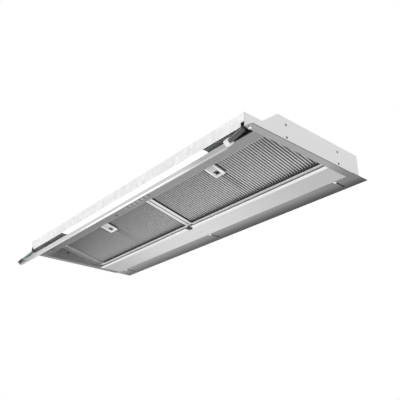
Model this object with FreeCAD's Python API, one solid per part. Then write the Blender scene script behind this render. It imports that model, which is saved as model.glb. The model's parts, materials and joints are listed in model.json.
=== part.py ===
import FreeCAD, Part
import math
import os

V = FreeCAD.Vector

# Built-in hood for a 900 mm wall cabinet, in millimetres.
# X runs along the width, +Y to the wall behind, +Z up. The origin is the centre of the
# underside, level with the bottom of the cabinet that holds the hood.

# ---- driving dimensions -----------------------------------------------------------------
WIDTH = 898.0            # over the side flanges
DEPTH = 346.0            # front edge to rear edge of the underside
FLANGE = 17.5            # side flange, covers the edge of the cabinet's side panel
SHEET = 1.0              # housing sheet
CANOPY_H = 66.0          # flat top of the canopy above the underside
POCKET_H = 31.0          # top of the front recess
CORNER_R = 5.0           # front corners of the flanges

# Stations measured forward from the rear edge of the underside.
REAR_WALL_AT = 3.0
STRIP_FRONT = 50.0       # adjustable filler strip ends, fixed panel starts
STRIP_TONGUE = 62.0      # hidden tongue of the strip
PANEL_FRONT = 110.0
LEDGE_FRONT = 120.0
FILTER_REAR = 108.5
SHELF_REAR = 274.6
SHELF_FRONT = 303.0
SLOPE_START = 255.0
SLOPE_END = 300.0
LIP_IN = 344.5
LIP_OUT = DEPTH
LIP_Z = 4.5              # lower edge of the front lip, above the side flanges
SHELF_Z = 17.0

# Filler strip
STRIP_Z = 1.4
STRIP_SLOT = (12.0, 48.0)
STRIP_SLOT_W = 4.2
STRIP_SCREW_AT = 45.6
STRIP_SCREW_X = (-399.5, 0.0, 399.5)
STRIP_NOTCH_TO = 80.0
STRIP_NOTCH_Z = 4.5      # the strip slides below this, beside the flange
UNDER_FLANGE_Z = 2.8

# Grease filters
TILT = 13.09             # degrees, front edge higher
FILTER_REAR_Z = 7.57
FILTER_L = 162.0
FILTER_T = 11.0
FILTER_GAP = 1.5         # from the centre line and from the side walls
FILTER_BORDER = 9.5
FILTER_NOSE = 2.5        # rounded rear lower edge, which the filter turns about
RIDGE_PITCH = 7.0
RIDGE_DEPTH = 3.4
RECESS = 5.0             # from the frame's lower face up to the ridges
HANDLE_X = 8.8           # to the right of the filter's middle
HANDLE_W = 31.0
HANDLE_FROM = 106.0      # along the filter, from its rear edge
HANDLE_TO = 143.0
BOLT_HALF = 3.0

# Visor
PIVOT_AT = 339.5
PIVOT_Z = 5.5
OPEN_ANGLE = 132.0       # from flat in the recess to the open pose
GLASS_X = 426.0
GLASS_FROM = 10.0
GLASS_TO = 47.0
GLASS_LOW = -2.2
GLASS_HIGH = 1.8
RAIL_X = 416.5
BEND_FROM = 47.5         # the glass and its rail bend about this line
BEND_UP = 16.0
RAIL_FROM = 37.0         # degrees around the bend
GLASS_END = 42.0
RAIL_TO = 61.0
RAIL_COVER = 1.0         # rail outside the glass, on both faces
ARM_X = (426.2, 430.6)
ARM_N = (GLASS_LOW, 5.5)
PIN_R = 2.0
RUN_CLEARANCE = 0.05

# Lamp
LAMP_X = 291.0
LAMP_REAR = 304.4
LAMP_FRONT = 333.0
LAMP_Z = 20.0

# Controls
BUTTONS = 6
BUTTON_PITCH = 17.2
BUTTON_X = 14.0
BUTTON_AT = 291.0
BUTTON_SIZE = (12.2, 9.0)
BUTTON_GAP = 0.9         # around each cap, in the shelf
SENSOR_X = -87.0
SENSOR_AT = 281.0

# Blower
BOX_X = 262.0
BOX_REAR = 7.0
BOX_FRONT = 199.0
BOX_TOP = 146.0
FAN_X = -158.0
FAN_AT = 103.0
FAN_R = 70.0
FAN_LOW = 76.0
FAN_H = 52.0
INLET_R = 58.0
SCROLL_START = 76.0
SCROLL_END = 93.0
SCROLL_TOP = 140.0

# Duct collar
COLLAR_R = 74.5
COLLAR_WALL = 1.2
COLLAR_TOP = 184.0
FLAP_Z = 152.0
FLAP_R = 71.5
KNUCKLE_R = 2.6
FLAP_INNER = 3.0         # the half discs start this far from the pin's axis
LUG_CLEAR = 6.2          # and this far where they pass the collar's lugs

HALF_W = WIDTH / 2.0
HALF_D = DEPTH / 2.0
INNER = HALF_W - FLANGE
DECK_LOW = CANOPY_H - SHEET


# ---- helpers ----------------------------------------------------------------------------
def at(station):
    """Y of a station measured forward from the rear edge."""
    return HALF_D - station


def block(x0, x1, near, far, z0, z1):
    """A box between two stations, near being closer to the rear edge."""
    return Part.makeBox(x1 - x0, far - near, z1 - z0, V(x0, at(far), z0))


def flat_box(x0, x1, y0, y1, z0, z1):
    """A box in plain coordinates."""
    return Part.makeBox(x1 - x0, y1 - y0, z1 - z0, V(x0, y0, z0))


def extrude_x(points, x0, x1):
    """A closed outline of (y, z) points, extruded along X."""
    wire = Part.makePolygon([V(x0, y, z) for y, z in points + points[:1]])
    return Part.Face(wire).extrude(V(x1 - x0, 0, 0))


def profile(points, x0, x1):
    """As extrude_x, for points given as (station, z)."""
    return extrude_x([(at(s), z) for s, z in points], x0, x1)


def post(x, y, z0, z1, radius):
    return Part.makeCylinder(radius, z1 - z0, V(x, y, z0))


def rod(x0, x1, y, z, radius):
    return Part.makeCylinder(radius, x1 - x0, V(x0, y, z), V(1, 0, 0))


def tube(x, y, z0, z1, outer, inner):
    return post(x, y, z0, z1, outer).cut(post(x, y, z0, z1, inner))


def fuse(shapes):
    return shapes[0].multiFuse(shapes[1:]).removeSplitter()


def mirrored(shape):
    """The same piece on the other side of the centre line."""
    return shape.mirror(V(0, 0, 0), V(1, 0, 0))


def rounded_edges(shape, radius, direction):
    """Rounds every straight edge that runs along the given direction."""
    edges = []
    for edge in shape.Edges:
        if isinstance(edge.Curve, Part.Line):
            run = edge.Vertexes[1].Point - edge.Vertexes[0].Point
            if abs(abs(run.normalize().dot(direction)) - 1.0) < 1e-6:
                edges.append(edge)
    return shape.makeFillet(radius, edges)


def slot_cutter(x, near, far, z0, z1, width):
    """A slot along Y with round ends."""
    r = width / 2.0
    ends = [post(x, at(s), z0, z1, r) for s in (near + r, far - r)]
    return fuse([block(x - r, x + r, near + r, far - r, z0, z1)] + ends)


def tilted(shape, centre_x):
    """From the filter's flat frame (rear lower edge on the X axis) to its place."""
    shape = shape.copy()
    shape.rotate(V(0, 0, 0), V(1, 0, 0), -TILT)
    shape.translate(V(centre_x, at(FILTER_REAR), FILTER_REAR_Z))
    return shape


def opened(shape):
    """From the visor's closed frame (pivot on the X axis, panel to the rear) to its place."""
    shape = shape.copy()
    shape.rotate(V(0, 0, 0), V(1, 0, 0), -OPEN_ANGLE)
    shape.translate(V(0, at(PIVOT_AT), PIVOT_Z))
    return shape


def pan_screw(x, y, z, head_r, head_h, shank_r, shank_l):
    """A screw driven upwards, its head's seat at height z, with a cross recess."""
    head = Part.makeCylinder(head_r, head_h, V(x, y, z - head_h))
    rims = [e for e in head.Edges if e.BoundBox.ZMax < z - head_h + 0.01 and e.BoundBox.XLength > 1]
    head = head.makeFillet(head_h * 0.6, rims)
    arm = head_r * 0.55
    wide = head_r * 0.16
    for half in ((arm, wide), (wide, arm)):
        head = head.cut(
            flat_box(x - half[0], x + half[0], y - half[1], y + half[1], z - head_h - 1, z - head_h * 0.45)
        )
    return head.fuse(post(x, y, z, z + shank_l, shank_r)).removeSplitter()


# ---- housing ----------------------------------------------------------------------------
def side_panel():
    """Right side: wall and flange folded from one sheet."""
    outline = [
        (REAR_WALL_AT, STRIP_NOTCH_Z),
        (REAR_WALL_AT, CANOPY_H),
        (SLOPE_START, CANOPY_H),
        (SLOPE_END, POCKET_H),
        (LIP_OUT, POCKET_H),
        (LIP_OUT, SHEET),
        (STRIP_NOTCH_TO, SHEET),
        (STRIP_NOTCH_TO, STRIP_NOTCH_Z),
    ]
    wall = profile(outline, INNER, INNER + SHEET)
    flange = block(INNER, HALF_W, STRIP_FRONT + 2.0, LIP_OUT, 0, SHEET)
    corner = [
        e
        for e in flange.Edges
        if e.BoundBox.ZLength > SHEET - 0.01 and e.BoundBox.XMin > HALF_W - 0.01 and e.BoundBox.YMax < 0
    ]
    flange = flange.makeFillet(CORNER_R, corner)
    panel = wall.fuse(flange).removeSplitter()
    for station in (73.0, 233.0):
        for z in (22.0, 50.0):
            panel = panel.cut(rod(INNER - 1, INNER + 3, at(station), z, 2.75))
    return panel


def rear_wall():
    """Wall with a flange folded inwards at its foot, which carries the filler strip's screws."""
    wall = block(-INNER, INNER, REAR_WALL_AT, REAR_WALL_AT + SHEET, UNDER_FLANGE_Z, DECK_LOW)
    foot = block(-INNER, INNER, REAR_WALL_AT, STRIP_FRONT - 1.0, UNDER_FLANGE_Z, UNDER_FLANGE_Z + SHEET)
    shape = wall.fuse(foot).removeSplitter()
    for x in STRIP_SCREW_X:
        shape = shape.cut(post(x, at(STRIP_SCREW_AT), 0, 6, 2.0))
    return shape


def top_deck():
    drop = SHEET * 1.27
    outline = [
        (REAR_WALL_AT, CANOPY_H),
        (SLOPE_START, CANOPY_H),
        (SLOPE_END, POCKET_H),
        (SLOPE_END, POCKET_H - drop),
        (SLOPE_START - 0.35, DECK_LOW),
        (REAR_WALL_AT, DECK_LOW),
    ]
    deck = profile(outline, -INNER, INNER)
    return deck.cut(post(FAN_X, at(FAN_AT), 0, 100, INLET_R + 8.0))


def lip_notch():
    """Clearance in the front lip for the visor's arms, on both sides."""
    cut = block(INNER - 9.0, INNER + 0.2, 340.0, 350.0, -1.0, 12.0)
    return cut.fuse(mirrored(cut))


def front_channel():
    """Front lip and roof of the recess, folded from one sheet."""
    lip = block(-INNER, INNER, LIP_IN, LIP_OUT, LIP_Z, POCKET_H)
    roof = block(-INNER, INNER, SLOPE_END, LIP_IN, POCKET_H - SHEET, POCKET_H)
    return lip.fuse(roof).removeSplitter().cut(lip_notch())


def pocket_liner():
    """Black liner of the front recess."""
    top = POCKET_H - SHEET
    roof = block(-INNER, INNER, SHELF_FRONT, LIP_IN, top - SHEET, top)
    front = block(-INNER, INNER, LIP_IN - SHEET, LIP_IN, LIP_Z + 0.5, top - SHEET)
    back = block(-INNER, INNER, SHELF_FRONT, SHELF_FRONT + SHEET, SHELF_Z + 1.2, top - SHEET)
    return fuse([roof, front, back]).cut(lip_notch())


def button_x(index):
    return BUTTON_X + (index - (BUTTONS - 1) / 2.0) * BUTTON_PITCH


def control_shelf():
    """Shelf of the front recess, folded up at both edges."""
    slope = (CANOPY_H - POCKET_H) / (SLOPE_END - SLOPE_START)

    def deck_under(station):
        return POCKET_H - SHEET * 1.27 + (SLOPE_END - station) * slope

    shelf = block(-INNER, INNER, SHELF_REAR - SHEET, SHELF_FRONT, SHELF_Z, SHELF_Z + SHEET)
    front = block(-INNER, INNER, SHELF_FRONT - SHEET, SHELF_FRONT, SHELF_Z + SHEET, POCKET_H - SHEET)
    rear_edge = SHELF_REAR - SHEET
    back = profile(
        [
            (rear_edge, SHELF_Z + SHEET),
            (rear_edge, deck_under(rear_edge)),
            (SHELF_REAR, deck_under(SHELF_REAR)),
            (SHELF_REAR, SHELF_Z + SHEET),
        ],
        -INNER,
        INNER,
    )
    shape = fuse([shelf, front, back])
    half_x = BUTTON_SIZE[0] / 2.0 + BUTTON_GAP
    half_y = BUTTON_SIZE[1] / 2.0 + BUTTON_GAP
    for i in range(BUTTONS):
        x = button_x(i)
        y = at(BUTTON_AT)
        hole = flat_box(x - half_x, x + half_x, y - half_y, y + half_y, SHELF_Z - 1, SHELF_Z + 3)
        shape = shape.cut(rounded_edges(hole, 1.9, V(0, 0, 1)))
    return shape.cut(post(SENSOR_X, at(SENSOR_AT), SHELF_Z - 1, SHELF_Z + 3, 4.5))


def rear_panel():
    panel = block(-INNER, INNER, STRIP_FRONT, PANEL_FRONT, 0, SHEET)
    return panel.cut(post(0, at(75.0), -1, 2, 1.5))


def filter_ledge():
    """Polished bar that the rear edges of the filters rest on."""
    foot = block(-INNER, INNER, PANEL_FRONT, LEDGE_FRONT, 0, 1.6)
    front = [e for e in foot.Edges if e.BoundBox.XLength > 100 and e.BoundBox.YMax < at(119)]
    foot = foot.makeFillet(0.7, front)
    riser = block(-INNER, INNER, PANEL_FRONT, PANEL_FRONT + 1.2, 1.6, 4.6)
    lip = block(-INNER, INNER, LEDGE_FRONT - 1.2, LEDGE_FRONT, 1.6, 3.7)
    return foot.multiFuse([riser, lip]).removeSplitter()


def filler_strip():
    visible = block(-HALF_W, HALF_W, 0, STRIP_FRONT, STRIP_Z, STRIP_Z + SHEET)
    tongue = block(-INNER + 1.0, INNER - 1.0, STRIP_FRONT, STRIP_TONGUE, STRIP_Z, STRIP_Z + SHEET)
    strip = visible.fuse(tongue).removeSplitter()
    for x in STRIP_SCREW_X:
        strip = strip.cut(slot_cutter(x, STRIP_SLOT[0], STRIP_SLOT[1], 0, 5, STRIP_SLOT_W))
    return strip


def filler_screws():
    seat = STRIP_Z - 0.4
    return Part.makeCompound(
        [pan_screw(x, at(STRIP_SCREW_AT), seat, 3.6, 2.0, 1.95, 6.5) for x in STRIP_SCREW_X]
    )


def corner_screws():
    right = pan_screw(435.8, at(337.0), 0.0, 3.4, 2.4, 1.4, 0.6)
    right = right.cut(post(435.8, at(337.0), 0.0, 2.0, 2.0))
    return Part.makeCompound([right, mirrored(right)])


def centre_bar():
    """Sloped stiffener above the gap between the filters."""
    low = FILTER_T + 0.8
    bar = flat_box(-9.0, 9.0, -FILTER_L + 1.0, -6.0, low, low + 1.2)
    web = flat_box(-0.6, 0.6, -FILTER_L + 14.0, -16.0, low + 1.2, low + 7.0)
    return tilted(bar.fuse(web).removeSplitter(), 0.0)


def centre_clip():
    """Black clip under the ledge, between the filters."""
    body = block(-6.0, 6.0, 111.0, 123.0, -2.4, 0.0)
    body = rounded_edges(body, 1.2, V(0, 0, 1))
    lug = block(-3.0, 3.0, 120.2, 123.0, 0.0, 0.6)
    return body.fuse(lug).removeSplitter()


# ---- lamp -------------------------------------------------------------------------------
def lamp_diffuser():
    """Long opal cover with a rounded underside and rounded ends."""
    top = LAMP_Z + 5.0
    body = block(-LAMP_X, LAMP_X, LAMP_REAR, LAMP_FRONT, LAMP_Z, top)
    body = rounded_edges(body, 6.0, V(0, 0, 1))
    low = [e for e in body.Edges if e.BoundBox.ZMax < LAMP_Z + 0.01]
    return body.makeFillet(3.4, low)


def led_board():
    return block(-LAMP_X + 6, LAMP_X - 6, LAMP_REAR + 6, LAMP_FRONT - 6, LAMP_Z + 5.0, LAMP_Z + 6.2)


def lamp_housing():
    """Tray that holds the board under the roof of the recess."""
    low = LAMP_Z + 5.0
    top = POCKET_H - 2 * SHEET
    tray = block(-LAMP_X, LAMP_X, LAMP_REAR, LAMP_FRONT, low, top)
    room = block(-LAMP_X + 6, LAMP_X - 6, LAMP_REAR + 6, LAMP_FRONT - 6, low, low + 1.2)
    return tray.cut(room)


# ---- controls ---------------------------------------------------------------------------
def button(index):
    """Push button with a retaining shoulder above the shelf."""
    x = button_x(index)
    y = at(BUTTON_AT)
    half_x = BUTTON_SIZE[0] / 2.0
    half_y = BUTTON_SIZE[1] / 2.0
    cap = flat_box(x - half_x, x + half_x, y - half_y, y + half_y, SHELF_Z - 1.6, SHELF_Z + 1.3)
    cap = rounded_edges(cap, 1.5, V(0, 0, 1))
    cap = cap.makeFillet(0.5, [e for e in cap.Edges if e.BoundBox.ZMax < SHELF_Z - 1.59])
    over = BUTTON_GAP + 1.3
    shoulder = flat_box(x - half_x - over, x + half_x + over, y - half_y - over, y + half_y + over,
                        SHELF_Z + 1.3, SHELF_Z + 2.3)
    return cap.fuse(shoulder).removeSplitter()


def sensor_lens():
    rim = post(SENSOR_X, at(SENSOR_AT), SHELF_Z - 0.8, SHELF_Z + 4.0, 4.5)
    low = [e for e in rim.Edges if e.BoundBox.ZMax < SHELF_Z - 0.79 and e.BoundBox.XLength > 1]
    return rim.makeFillet(0.7, low)


def control_board():
    """Circuit board with six push switches over the buttons."""
    low = SHELF_Z + 6.2
    board = block(-100.0, 62.0, 276.5, 300.0, low, low + 1.4)
    switches = [post(button_x(i), at(BUTTON_AT), low - 1.6, low, 2.2) for i in range(BUTTONS)]
    return fuse([board] + switches)


def control_box():
    """Cover over the circuit board, between the folds of the shelf."""
    low = SHELF_Z + 7.6
    cover = block(-102.0, 64.0, 276.0, 300.6, low, low + 3.6)
    room = block(-98.0, 60.0, 278.0, 298.6, low, low + 2.2)
    return cover.cut(room)


# ---- visor ------------------------------------------------------------------------------
def bend(inner, outer, start, end):
    """Part of a ring around the visor's bend, between two angles, along the whole rail."""
    first = math.radians(start)
    last = math.radians(end)
    middle = (first + last) / 2.0

    def on(radius, angle):
        return V(-RAIL_X, BEND_FROM + radius * math.sin(angle), BEND_UP - radius * math.cos(angle))

    edges = [
        Part.Arc(on(outer, first), on(outer, middle), on(outer, last)).toShape(),
        Part.LineSegment(on(outer, last), on(inner, last)).toShape(),
        Part.Arc(on(inner, last), on(inner, middle), on(inner, first)).toShape(),
        Part.LineSegment(on(inner, first), on(outer, first)).toShape(),
    ]
    return Part.Face(Part.Wire(edges)).extrude(V(2 * RAIL_X, 0, 0))


BEND_OUTER = BEND_UP - GLASS_LOW
BEND_INNER = BEND_UP - GLASS_HIGH


def visor_glass():
    """Flat panel whose lower edge is bent round towards the cook."""
    panel = flat_box(-GLASS_X, GLASS_X, GLASS_FROM, GLASS_TO, GLASS_LOW, GLASS_HIGH)
    panel = rounded_edges(panel, 2.0, V(0, 0, 1))
    joint = flat_box(-RAIL_X, RAIL_X, GLASS_TO - 3.0, BEND_FROM, GLASS_LOW, GLASS_HIGH)
    return opened(fuse([panel, joint, bend(BEND_INNER, BEND_OUTER, 0.0, GLASS_END)]))


def visor_rail():
    """Trim rail over the edge of the bent glass, with a round bead along its tip."""
    inner = BEND_INNER - RAIL_COVER
    outer = BEND_OUTER + RAIL_COVER
    cover = bend(inner, outer, RAIL_FROM, RAIL_TO)
    cover = cover.cut(bend(BEND_INNER, BEND_OUTER, RAIL_FROM - 5.0, GLASS_END))
    middle = (inner + outer) / 2.0
    angle = math.radians(RAIL_TO)
    bead = rod(-RAIL_X, RAIL_X, BEND_FROM + middle * math.sin(angle), BEND_UP - middle * math.cos(angle),
               (outer - inner) / 2.0)
    return opened(fuse([cover, bead]))


def visor_end():
    """Right end block, which closes the rail and carries the arm."""
    body = flat_box(RAIL_X, ARM_X[0], GLASS_TO + 3.0, GLASS_TO + 16.0, -3.4, 9.0)
    return opened(rounded_edges(body, 2.2, V(1, 0, 0)))


def visor_arm():
    arm = flat_box(ARM_X[0], ARM_X[1], 13.0, 61.0, ARM_N[0], ARM_N[1])
    tip = [e for e in arm.Edges if e.BoundBox.XLength > 1 and e.BoundBox.YMin > 60.9]
    return opened(arm.makeFillet(3.0, tip))


def visor_boss():
    """Black knuckle on the arm's upper end, around the pin."""
    knuckle = rod(ARM_X[0], ARM_X[1], 0, 0, 4.4)
    sleeve = flat_box(ARM_X[0], ARM_X[1], 0.0, 13.0, ARM_N[0], ARM_N[1] - 1.1)
    shape = knuckle.fuse(sleeve).removeSplitter()
    return opened(shape.cut(rod(ARM_X[0] - 1, ARM_X[1] + 1, 0, 0, PIN_R)))


def visor_pins():
    right = opened(rod(413.0, ARM_X[1], 0, 0, PIN_R))
    return Part.makeCompound([right, mirrored(right)])


def hinge_brackets():
    """Blocks under the roof of the recess, bored for the visor's pins."""
    top = POCKET_H - 2 * SHEET
    strap = block(414.0, 424.0, PIVOT_AT - 4.5, PIVOT_AT + 4.0, PIVOT_Z, top)
    eye = rod(414.0, 424.0, at(PIVOT_AT), PIVOT_Z, 4.0)
    right = strap.fuse(eye).removeSplitter()
    right = right.cut(rod(410.0, 428.0, at(PIVOT_AT), PIVOT_Z, PIN_R + RUN_CLEARANCE))
    return Part.makeCompound([right, mirrored(right)])


# ---- grease filters ---------------------------------------------------------------------
FILTER_W = INNER - 2 * FILTER_GAP
FILTER_X = FILTER_GAP + FILTER_W / 2.0


def filter_frame(centre_x):
    half = FILTER_W / 2.0
    outer = flat_box(-half, half, -FILTER_L, 0, 0, FILTER_T)
    nose = [e for e in outer.Edges if e.BoundBox.YMin > -0.01 and e.BoundBox.ZMax < 0.01]
    outer = rounded_edges(outer, 2.5, V(0, 0, 1)).common(outer.makeFillet(FILTER_NOSE, nose))
    inner = flat_box(-half + FILTER_BORDER, half - FILTER_BORDER, -FILTER_L + FILTER_BORDER,
                     -FILTER_BORDER, -1, FILTER_T + 1)
    shape = outer.cut(inner)
    bolt_way = flat_box(HANDLE_X - BOLT_HALF - 0.3, HANDLE_X + BOLT_HALF + 0.3, -FILTER_L - 1,
                        -FILTER_L + FILTER_BORDER + 1, 1.7, 5.3)
    return tilted(shape.cut(bolt_way), centre_x)


def filter_baffle(centre_x):
    """Corrugated sheet whose ridges run from front to rear."""
    half = FILTER_W / 2.0 - FILTER_BORDER
    count = int(2 * half / RIDGE_PITCH)
    margin = (2 * half - count * RIDGE_PITCH) / 2.0
    low = RECESS
    sheet = 0.8
    flat = 1.6
    rise = RIDGE_PITCH / 2.0 - flat
    under = [(-half, low)]
    for i in range(count):
        x = -half + margin + i * RIDGE_PITCH
        under.append((x + flat, low))
        under.append((x + flat + rise, low + RIDGE_DEPTH))
        under.append((x + 2 * flat + rise, low + RIDGE_DEPTH))
        under.append((x + RIDGE_PITCH, low))
    under.append((half, low))
    over = [(x, z + sheet) for x, z in reversed(under)]
    y0 = -FILTER_L + FILTER_BORDER
    outline = [V(x, y0, z) for x, z in under + over]
    face = Part.Face(Part.makePolygon(outline + outline[:1]))
    shape = face.extrude(V(0, FILTER_L - 2 * FILTER_BORDER - 1.2, 0))
    window = flat_box(HANDLE_X - 9.5, HANDLE_X + 9.5, -HANDLE_TO + 1, -HANDLE_FROM - 3, 0, FILTER_T)
    return tilted(shape.cut(window), centre_x)


def filter_handle(centre_x):
    """Grip plate with a finger window and raised side rails for the latch."""
    half = HANDLE_W / 2.0
    plate = flat_box(-half, half, -HANDLE_TO, -HANDLE_FROM, -1.2, 1.4)
    plate = rounded_edges(plate, 2.0, V(0, 0, 1))
    window = flat_box(-6.8, 6.8, -HANDLE_FROM - 18.5, -HANDLE_FROM - 6.5, -3, 3)
    plate = plate.cut(rounded_edges(window, 1.5, V(0, 0, 1)))
    rails = []
    for x in (-10.2, 10.2):
        rails.append(flat_box(x - 1.4, x + 1.4, -HANDLE_TO + 2.5, -HANDLE_FROM - 2.5, 1.4, 5.6))
    return tilted(fuse([plate] + rails), centre_x + HANDLE_X)


def filter_latch(centre_x):
    """Sliding plate with a finger tab in the handle's window and a narrow bolt."""
    slider = flat_box(-8.0, 8.0, -HANDLE_TO + 2.0, -HANDLE_FROM - 9, 2.0, RECESS)
    bolt = flat_box(-BOLT_HALF, BOLT_HALF, -FILTER_L - 2.4, -HANDLE_TO + 2.0, 2.0, RECESS)
    tab = flat_box(-6.2, 6.2, -HANDLE_FROM - 18, -HANDLE_FROM - 13.5, -0.6, 2.0)
    return tilted(fuse([slider, bolt, tab]), centre_x + HANDLE_X)


# ---- blower -----------------------------------------------------------------------------
def motor_box():
    """Plenum box on the deck: walls, top and a foot flange."""
    outer = block(-BOX_X, BOX_X, BOX_REAR, BOX_FRONT, CANOPY_H, BOX_TOP)
    inside = BOX_X - SHEET
    room = block(-inside, inside, BOX_REAR + SHEET, BOX_FRONT - SHEET, CANOPY_H, BOX_TOP - SHEET)
    foot = block(-BOX_X - 10, BOX_X + 10, BOX_REAR, BOX_FRONT + 10, CANOPY_H, CANOPY_H + SHEET)
    shape = outer.fuse(foot).removeSplitter().cut(room)
    return shape.cut(post(0, at(FAN_AT), BOX_TOP - 5, BOX_TOP + 5, COLLAR_R - COLLAR_WALL))


def box_screws():
    """Heads of the screws that hold the box to the deck."""
    low = CANOPY_H + SHEET
    spots = [(x, BOX_FRONT + 5.0) for x in (-220.0, -75.0, 75.0, 220.0)]
    spots += [(side * (BOX_X + 5.0), station) for side in (-1, 1) for station in (35.0, 170.0)]
    return Part.makeCompound([post(x, at(station), low, low + 2.4, 4.0) for x, station in spots])


def inlet_ring():
    """Bell mouth in the deck below the impeller."""
    flange = tube(FAN_X, at(FAN_AT), CANOPY_H, CANOPY_H + 1.5, INLET_R + 14.0, INLET_R)
    throat = tube(FAN_X, at(FAN_AT), CANOPY_H + 1.5, FAN_LOW - 1.2, INLET_R + 1.6, INLET_R)
    return flange.fuse(throat).removeSplitter()


def scroll_point(radius, angle, z):
    return V(FAN_X + radius * math.cos(angle), at(FAN_AT) + radius * math.sin(angle), z)


def volute():
    """Spiral wall around the impeller, opening towards the collar."""
    z = CANOPY_H + 1.5
    steps = 40
    start = math.radians(-20.0)
    sweep = math.radians(290.0)
    outer = []
    inner = []
    for i in range(steps + 1):
        share = i / steps
        radius = SCROLL_START + (SCROLL_END - SCROLL_START) * share
        angle = start + sweep * share
        outer.append(scroll_point(radius + SHEET, angle, z))
        inner.append(scroll_point(radius, angle, z))
    mouth_x = -COLLAR_R
    mouth = [V(mouth_x, outer[-1].y, z), V(mouth_x, inner[-1].y, z)]
    loop = outer + mouth + inner[::-1]
    return Part.Face(Part.makePolygon(loop + loop[:1])).extrude(V(0, 0, SCROLL_TOP - z))


def impeller():
    """Drum of forward-curved blades between a hub disc and a rim."""
    cx = FAN_X
    cy = at(FAN_AT)
    top = FAN_LOW + FAN_H
    disc = post(cx, cy, top - 1.5, top, FAN_R)
    hub = tube(cx, cy, top, top + 4.0, 14.0, 4.05)
    rim = tube(cx, cy, FAN_LOW, FAN_LOW + 2.0, FAN_R, FAN_R - 9.0)
    disc = disc.cut(post(cx, cy, top - 5, top + 5, 4.05))
    blades = []
    count = 36
    for i in range(count):
        blade = flat_box(FAN_R - 9.0, FAN_R - 0.6, -0.4, 0.4, FAN_LOW + 2.0, top - 1.5)
        blade.rotate(V(FAN_R - 4.5, 0, 0), V(0, 0, 1), 35.0)
        blade.rotate(V(0, 0, 0), V(0, 0, 1), 360.0 * i / count)
        blade.translate(V(cx, cy, 0))
        blades.append(blade)
    return fuse([disc, hub, rim] + blades)


def motor():
    """Motor can inside the drum, with its shaft through the hub."""
    cx = FAN_X
    cy = at(FAN_AT)
    top = FAN_LOW + FAN_H
    can = post(cx, cy, FAN_LOW + 6.0, top - 3.0, 42.0)
    can = can.makeFillet(4.0, [e for e in can.Edges if e.BoundBox.XLength > 50 and e.BoundBox.ZLength < 1])
    shaft = post(cx, cy, top - 3.0, BOX_TOP - 8.2, 4.0)
    return can.fuse(shaft).removeSplitter()


def motor_plate():
    """Spider that carries the shaft's fixed end under the box's top."""
    cx = FAN_X
    cy = at(FAN_AT)
    low = BOX_TOP - 8.2
    plate = post(cx, cy, low, low + 2.0, 30.0)
    arms = []
    for k in range(3):
        arm = flat_box(20.0, 62.0, -7.0, 7.0, low, low + 2.0)
        arm.rotate(V(0, 0, 0), V(0, 0, 1), 90.0 + 120.0 * k)
        arm.translate(V(cx, cy, 0))
        arms.append(arm)
    return fuse([plate] + arms)


def motor_mounts():
    """Rubber bushes between the spider and the box's top."""
    bushes = []
    for k in range(3):
        angle = math.radians(90.0 + 120.0 * k)
        centre = scroll_point(55.0, angle, 0)
        bushes.append(post(centre.x, centre.y, BOX_TOP - 6.2, BOX_TOP - SHEET, 6.0))
    return Part.makeCompound(bushes)


def capacitor():
    body = Part.makeCylinder(15.0, 62.0, V(120.0, at(60.0), CANOPY_H + 15.2), V(1, 0, 0))
    return body.makeFillet(2.0, [e for e in body.Edges if e.BoundBox.XLength < 0.1])


def terminal_box():
    """Connection box on the right end of the motor box."""
    body = block(BOX_X, BOX_X + 34.0, 60.0, 130.0, CANOPY_H + 6.0, CANOPY_H + 52.0)
    body = rounded_edges(body, 3.0, V(1, 0, 0))
    seam = block(BOX_X + 25.0, BOX_X + 25.8, 59.0, 131.0, CANOPY_H + 5.0, CANOPY_H + 53.0)
    core = block(BOX_X + 24.0, BOX_X + 27.0, 60.8, 129.2, CANOPY_H + 6.8, CANOPY_H + 51.2)
    return body.cut(seam.cut(core))


def cable_gland():
    """Gland for the mains lead, on the connection box's rear face."""
    x = BOX_X + 12.0
    z = CANOPY_H + 30.0
    nut = Part.makePolygon([
        V(x + 9.0 * math.cos(math.radians(60 * k)), at(60.0), z + 9.0 * math.sin(math.radians(60 * k)))
        for k in range(7)
    ])
    body = Part.Face(nut).extrude(V(0, 6.0, 0))
    dome = Part.makeCylinder(7.0, 8.0, V(x, at(54.0), z), V(0, 1, 0))
    mouth = [e for e in dome.Edges if e.BoundBox.YMin > at(46.1) and e.BoundBox.XLength > 1]
    dome = dome.makeFillet(3.0, mouth)
    bore = Part.makeCylinder(3.6, 20.0, V(x, at(61.0), z), V(0, 1, 0))
    return body.fuse(dome).removeSplitter().cut(bore)


# ---- duct collar and damper -------------------------------------------------------------
def duct_collar():
    """Spigot for a 150 mm duct, with a foot flange and a bead near its mouth."""
    cy = at(FAN_AT)
    wall = tube(0, cy, BOX_TOP, COLLAR_TOP, COLLAR_R, COLLAR_R - COLLAR_WALL)
    foot = tube(0, cy, BOX_TOP, BOX_TOP + 1.5, COLLAR_R + 8.0, COLLAR_R - COLLAR_WALL)
    lugs = [
        flat_box(side * 68.0 - 5.4, side * 68.0 + 5.4, cy - 3.5, cy + 3.5, FLAP_Z - 4.0, FLAP_Z + 4.0)
        for side in (-1, 1)
    ]
    inside = post(0, cy, BOX_TOP, COLLAR_TOP, COLLAR_R - 0.2)
    shape = fuse([wall, foot] + [lug.common(inside) for lug in lugs])
    return shape.cut(rod(-72.0, 72.0, cy, FLAP_Z, 1.5))


def damper_pin():
    return rod(-72.0, 72.0, at(FAN_AT), FLAP_Z, 1.5)


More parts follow.
